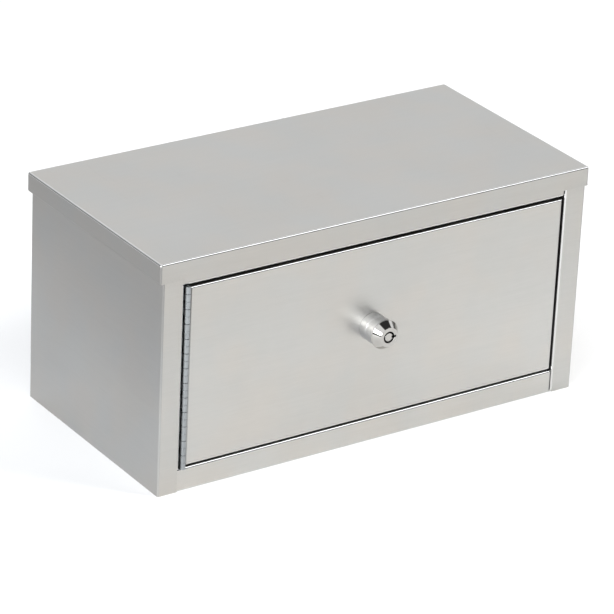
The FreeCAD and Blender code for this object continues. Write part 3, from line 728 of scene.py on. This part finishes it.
# Door panel. A folded pan of the same sheet, brushed along its length, with a deeper return on the
# hinge side and the lock's hole punched to a double D.

# The door's steel is made a little lighter: painted light.
door_sheet = sheet_set("door_sheet", 1.015)
folded("door_panel", "door", door_sheet)


# Lock backing plate. A square of heavier sheet, spot-welded behind the lock hole.

folded("lock_backing_plate", "door", door_sheet)


# Lock collars. Two turned stainless sleeves that space the lock's head off the door, a short one
# against the door and a longer one under the head, with a fine seam between them.

lock_low, lock_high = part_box("lock_housing")
lock_x = (lock_low.x + lock_high.x) / 2
lock_z = (lock_low.z + lock_high.z) / 2
lock_centre = (lock_x, 0, lock_z)
collar_bore = 9.645 * mm
collar_edge = 0.35 * mm
turned_ring_scale = 5200.0
painted_shade_below = -9 * mm
painted_shade_end = 2 * mm


def turned_finish(name, dark, light, smooth, rough, ring_depth, painted_underside_shade=None):
    """Metal finished on a lathe, with fine rings along Y and a faint haze. The colour may be
    painted darker towards the lower left, as painted shade."""
    finish = Finish(name)
    rings = finish.place((0.03, 1, 0.03), centre=lock_centre)
    rings = finish.noise(rings, turned_ring_scale, 2.0, 0.6)
    haze = finish.noise(finish.place(centre=lock_centre), 240.0, 3.0, 0.6)
    tone = finish.spread(rings * 0.6 + haze * 0.4, 0.35, 0.65)
    base = finish.mix(tone, dark, light)
    if painted_underside_shade:
        # Painted shade: darker and bluer towards the lower left.
        across, _, height = finish.parts(finish.place(centre=lock_centre))
        painted_shade_share = finish.spread(height + across * 0.5, painted_shade_below, painted_shade_end, 1.0, 0.0)
        base = finish.mix(painted_shade_share, base, painted_underside_shade)
    finish.surface(Base_Color=base,
                   Roughness=finish.spread(haze * 0.7 + rings * 0.3, 0.35, 0.65, smooth, rough),
                   Metallic=1.0, Normal=finish.bump(rings, ring_depth, 0.7))
    return finish.material


# The collars' lower left is painted shade.
collar_steel = turned_finish("turned_collar", dark=(0.84, 0.84, 0.835), light=(0.93, 0.925, 0.91),
                             smooth=0.34, rough=0.40, ring_depth=0.012 * mm,
                             painted_underside_shade=(0.50, 0.515, 0.54))
for node in ("lock_collar_rear", "lock_collar_front"):
    low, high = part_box(node)
    sleeve = outer_ring(low.y, high.y, collar_bore, (high.x - low.x) / 2, collar_edge)
    fit(node, turned(sleeve, lock_centre), [collar_steel], "door")


# Lock housing. A die-cast, chrome-plated tubular lock: a tapered head with a ring-shaped keyway and
# one notch, on a threaded barrel with two flats that passes through the door.

head_cone_height = 5.8 * mm
head_rim = 1.4 * mm
head_face_radius = 8.2 * mm
head_radius = (lock_high.x - lock_low.x) / 2
keyway_outer = 4.925 * mm
keyway_depth = 7.2 * mm
notch_width = 1.7 * mm
notch_reach = 6.8 * mm
notch_start = 2.6 * mm
chamber_radius = 6.55 * mm
thread_radius = 9.525 * mm
thread_pitch = 1.27 * mm
thread_depth = 0.5 * mm
thread_steps = 96
thread_rows = 220
flat_half = 8.325 * mm
head_edge = 0.18 * mm
notch_edge = 0.05 * mm
head_steps = 128
tool_overrun = 1 * mm

chrome = Finish("lock_chrome")
chrome_rings = chrome.place((0.03, 1, 0.03), centre=lock_centre)
chrome_rings = chrome.noise(chrome_rings, turned_ring_scale, 2.0, 0.6)
chrome_haze = chrome.noise(chrome.place(centre=lock_centre), 300.0, 3.0, 0.6)
across, depth, height = chrome.parts(chrome.place(centre=lock_centre))
from_centre = (across * across + height * height).math("SQRT", across * across + height * height)
# Painted shade: inside the ring-shaped keyway the chrome is coloured near black, where shade falls.
keyway_painted_shade = chrome.spread(depth, lock_low.y + 0.3 * mm, lock_low.y + 1.2 * mm)
keyway_painted_shade = keyway_painted_shade * chrome.spread(from_centre, 7.0 * mm, 7.2 * mm, 1.0, 0.0)
# The rim is turned satin and rougher, and its colour is painted lighter as a painted highlight
# line.
satin_rim_painted_highlight = chrome.band(depth, lock_low.y + head_cone_height + head_rim / 2,
                     head_rim / 2 - 0.1 * mm, 0.1 * mm)
satin_rim_painted_highlight = satin_rim_painted_highlight * chrome.spread(from_centre, 11.8 * mm, 12.2 * mm)
plated = chrome.mix(chrome_haze, (0.40, 0.39, 0.37), (0.44, 0.43, 0.41))
plated = chrome.mix(satin_rim_painted_highlight, plated, (0.80, 0.80, 0.80))
plated = chrome.mix(keyway_painted_shade, plated, (0.03, 0.03, 0.032))
polish = chrome.spread(chrome_haze, 0.3, 0.7, 0.035, 0.07) + satin_rim_painted_highlight * 0.2 + keyway_painted_shade * 0.3
lock_chrome = chrome.surface(Base_Color=plated, Roughness=polish, Metallic=1.0,
                             Normal=chrome.bump(chrome_rings, 0.002 * mm, 0.7))


def threaded(graph, radius, depth, pitch, low, high, flat, core):
    """A threaded sleeve along Y round the lock's line, cut flat on the left and right. Its first
    and last rows meet inside the metal, so that it is closed."""
    sleeve = graph.node("GeometryNodeMeshGrid", Size_X=1.0, Size_Y=1.0, Vertices_X=thread_steps + 1,
                        Vertices_Y=thread_rows)
    u, v = graph.parts(graph.node("GeometryNodeInputPosition"))[:2]
    row = (v + 0.5) * (thread_rows - 1)
    first = row.math("LESS_THAN", row, 0.5)
    closing = row.math("GREATER_THAN", row, thread_rows - 2.5)
    last = row.math("GREATER_THAN", row, thread_rows - 1.5)
    inside = first + closing
    share = graph.node("ShaderNodeClamp", Value=(row - 1) / (thread_rows - 4)) * (1 - last)
    y = low + share * (high - low)
    turn = y / pitch + u
    groove = turn.math("PINGPONG", turn, 0.5) * 2.0
    out = (radius - groove * depth) * (1 - inside) + core * inside
    angle = (u + 0.5) * (2 * pi)
    x = out * angle.math("SINE", angle)
    x = x.math("MAXIMUM", x.math("MINIMUM", x, flat), 0.0 - flat) + lock_x
    z = out * angle.math("COSINE", angle) + lock_z
    sleeve = graph.node("GeometryNodeSetPosition", Geometry=sleeve,
                        Position=graph.node("ShaderNodeCombineXYZ", X=x, Y=y, Z=z))
    return graph.node("GeometryNodeMergeByDistance", Geometry=sleeve, Distance=weld_distance)


def cut(mesh, tool):
    """The mesh with the tool's shape taken away."""
    piece = bpy.data.objects.new("blank", mesh)
    cutter = bpy.data.objects.new("cutter", tool)
    for item in (piece, cutter):
        bpy.context.scene.collection.objects.link(item)
    boolean = piece.modifiers.new("cut", "BOOLEAN")
    boolean.object = cutter
    boolean.solver = "EXACT"
    result = as_mesh(piece)
    bpy.data.objects.remove(piece)
    bpy.data.objects.remove(cutter)
    return result


def joined(*meshes):
    shape = bmesh.new()
    for mesh in meshes:
        shape.from_mesh(mesh)
    whole = bpy.data.meshes.new("joined")
    shape.to_mesh(whole)
    shape.free()
    return whole


rim_front = lock_low.y + head_cone_height
rim_back = rim_front + head_rim
keyway_floor = lock_low.y + keyway_depth
barrel_core = flat_half - 0.1 * mm
head_outline = rounded([
    (lock_high.y, barrel_core), (rim_back, barrel_core), (rim_back, head_radius),
    (rim_front, head_radius), (lock_low.y, head_face_radius), (lock_low.y, keyway_outer),
    (keyway_floor, keyway_outer), (keyway_floor, chamber_radius),
    (lock_high.y, chamber_radius)], head_edge)
notch = bar_mesh([((lock_x, lock_low.y - tool_overrun, lock_z - notch_width / 2),
                   (lock_x + notch_reach, keyway_floor, lock_z + notch_width / 2))], notch_edge)
lock_head = cut(turned(head_outline, lock_centre, steps=head_steps), notch)
thread = grown("barrel_thread", threaded, lock_chrome, radius=thread_radius, depth=thread_depth,
               pitch=thread_pitch, low=rim_back, high=lock_high.y, flat=flat_half,
               core=barrel_core - 0.3 * mm)
fit("lock_housing", joined(lock_head, thread), [lock_chrome], "door")


# Lock washer and nut. Zinc-plated steel; the nut clamps the lock's barrel to the door through the
# backing plate.

zinc = Finish("bright_zinc")
spangle = zinc.noise(zinc.place(), 520.0, 3.0, 0.6)
zinc_haze = zinc.noise(zinc.place(centre=(0.3, 0.1, 0.2)), 90.0, 3.0, 0.6)
zinc.surface(
    Base_Color=zinc.mix(zinc.spread(spangle * 0.6 + zinc_haze * 0.4, 0.35, 0.65),
                        (0.42, 0.44, 0.46), (0.60, 0.62, 0.62)),
    Roughness=zinc.spread(spangle, 0.3, 0.7, 0.28, 0.45), Metallic=1.0,
    Normal=zinc.bump(spangle, 0.02 * mm, 0.6))
washer_edge = 0.15 * mm
nut_edge = 0.3 * mm


def washer(node, body, bore):
    low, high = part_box(node)
    ring = outer_ring(low.y, high.y, bore, (high.x - low.x) / 2, washer_edge)
    fit(node, turned(ring, lock_centre), [zinc.material], body)


washer("lock_washer", "door", collar_bore)
fit("lock_nut", joined_faces("lock_nut"), [zinc.material], "door", nut_edge)


# Lock spindle. The chrome-plated centre post of the keyway with its notch, the body behind it with
# seven tumbler holes, and the square drive for the cam.

spindle_low, spindle_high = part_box("lock_spindle")
post_radius = 3.5 * mm
spindle_radius = (spindle_high.x - spindle_low.x) / 2
spindle_front = keyway_floor + 0.3 * mm
drive_half = 4.0 * mm
drive_edge = 0.15 * mm
hole_steps = 24
tumbler_radius = 0.6 * mm
tumbler_clearance = 0.05 * mm
tumbler_circle = 4.2125 * mm
tumbler_places = 8


def round_post(graph, source, places, radius):
    """Copies round the keyway at all places but the notch's."""
    ring = graph.node("GeometryNodeMeshCircle", Vertices=places, Radius=radius)
    ring = graph.node("GeometryNodeTransform", Geometry=ring, Rotation=(pi / 2, 0, 0),
                      Translation=(lock_x, 0, lock_z))
    index = graph.node("GeometryNodeInputIndex")
    ring = graph.node("GeometryNodeDeleteGeometry", {"domain": "POINT"}, Geometry=ring,
                      Selection=index.math("LESS_THAN", index, 0.5))
    return graph.node("GeometryNodeInstanceOnPoints", Points=ring,
                      Instance=same_shape(graph, source))


def seven(name, mesh, material):
    return copied(name, mesh, round_post, material, places=tumbler_places, radius=tumbler_circle)


spring_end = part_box("tumbler_springs")[1].y
body_outline = rounded([
    (spindle_low.y, 0), (lock_high.y, 0), (lock_high.y, spindle_radius),
    (spindle_front, spindle_radius), (spindle_front, post_radius), (spindle_low.y, post_radius)],
    head_edge)
body_outline = [p if p[1] > 0.5 * mm else Vector((p[0], 0)) for p in body_outline]
hole_radius = tumbler_radius + tumbler_clearance
hole = outer_ring(spindle_front - tool_overrun, spring_end, 0, hole_radius, 0)
hole = turned(hole, (0, 0, 0), steps=hole_steps)
notch_sides = (lock_z - notch_width / 2, lock_z + notch_width / 2)
post_notch = bar_mesh([((lock_x + notch_start, spindle_low.y - tool_overrun, notch_sides[0]),
                        (lock_x + notch_reach, spindle_front, notch_sides[1]))], notch_edge)
spindle = cut(turned(body_outline, lock_centre, steps=head_steps), post_notch)
spindle = cut(spindle, seven("tumbler_holes", hole, lock_chrome))
drive = bar_mesh([((lock_x - drive_half, lock_high.y - tool_overrun, lock_z - drive_half),
                   (lock_x + drive_half, spindle_high.y, lock_z + drive_half))], drive_edge)
fit("lock_spindle", joined(spindle, drive), [lock_chrome], "lock_plug")


# Tumbler pins and springs. Seven turned brass pins round the post, each pushed toward the keyway by
# a small coil of spring wire; the notch takes the eighth place.

tumbler_tip = 0.24 * mm
tumbler_steps = 32
wire_radius = 0.11 * mm
coil_turns = 9.0

brass = Finish("turned_brass")
brass_tone = brass.noise(brass.place(), 1800.0, 3.0, 0.6)
brass.surface(Base_Color=brass.mix(brass_tone, (0.60, 0.43, 0.18), (0.74, 0.55, 0.26)),
              Roughness=brass.spread(brass_tone, 0.3, 0.7, 0.22, 0.34), Metallic=1.0,
              Normal=brass.bump(brass_tone, 0.01 * mm, 0.6))
low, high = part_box("tumbler_pins")
pin_outline = outer_ring(low.y, high.y, 0, tumbler_radius, tumbler_tip)
one_pin = turned(pin_outline, (0, 0, 0), steps=tumbler_steps)
pins = seven("tumbler_pins_round_post", one_pin, brass.material)
fit("tumbler_pins", pins, [brass.material], "tumblers")

wire = Finish("spring_wire")
wire_tone = wire.noise(wire.place(), 2600.0, 3.0, 0.6)
wire.surface(Base_Color=wire.mix(wire_tone, (0.34, 0.35, 0.36), (0.50, 0.51, 0.52)),
             Roughness=wire.spread(wire_tone, 0.3, 0.7, 0.22, 0.36), Metallic=1.0,
             Normal=wire.bump(wire_tone, 0.01 * mm, 0.6))


def coil(graph, turns, radius, wire_thickness, length, low):
    """A coil spring along Y from low, wound from round wire."""
    spiral = graph.node("GeometryNodeCurveSpiral", Resolution=20, Rotations=turns,
                        Start_Radius=radius, End_Radius=radius, Height=length)
    section = graph.node("GeometryNodeCurvePrimitiveCircle", Resolution=10, Radius=wire_thickness)
    tube = graph.node("GeometryNodeCurveToMesh", Curve=spiral, Profile_Curve=section,
                      Fill_Caps=True)
    return graph.node("GeometryNodeTransform", Geometry=tube, Rotation=(-pi / 2, 0, 0),
                      Translation=graph.node("ShaderNodeCombineXYZ", Y=low))


low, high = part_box("tumbler_springs")
one_coil = grown("coil", coil, wire.material, turns=coil_turns, radius=tumbler_radius - wire_radius,
                 wire_thickness=wire_radius, length=high.y - low.y - 2 * wire_radius,
                 low=low.y + wire_radius)
coils = seven("springs_round_post", one_coil, wire.material)
springs = fit("tumbler_springs", coils, [wire.material], "lock_plug")
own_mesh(springs)


# Stop washer, cam, cam washer and cam screw. Zinc-plated steel on the spindle's square drive; the
# long flat cam lies parked across the door and turns up behind the header.

cam_bore = 2.5 * mm
screw_radius = 2.5 * mm
screw_head_height = 3.0 * mm
screw_head_edge = 1.5 * mm
cross_half_width = 0.9 * mm
cross_half_length = 3.0 * mm
cross_depth = 1.5 * mm
cross_edge = 0.02 * mm
screw_tip = 0.3 * mm

for node in ("stop_washer", "lock_cam"):
    fit(node, joined_faces(node), [zinc.material], "lock_plug", washer_edge)
washer("cam_washer", "lock_plug", cam_bore)

low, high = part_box("cam_screw")
head_out = (high.x - low.x) / 2
seat = high.y - screw_head_height
screw_outline = ([(low.y, 0), (high.y, 0)]
                 + [(high.y - screw_head_edge * (1 - cos(a)),
                     head_out - screw_head_edge * (1 - sin(a)))
                    for a in [radians(15 * k) for k in range(7)]]
                 + [(seat, head_out), (seat, screw_radius), (low.y + screw_tip, screw_radius),
                    (low.y, screw_radius - screw_tip)])
screw = turned(screw_outline, lock_centre)
for reach_x, reach_z in ((cross_half_length, cross_half_width),
                         (cross_half_width, cross_half_length)):
    recess = bar_mesh([((lock_x - reach_x, high.y - cross_depth, lock_z - reach_z),
                        (lock_x + reach_x, high.y + tool_overrun, lock_z + reach_z))], cross_edge)
    screw = cut(screw, recess)
fit("cam_screw", screw, [zinc.material], "lock_plug")
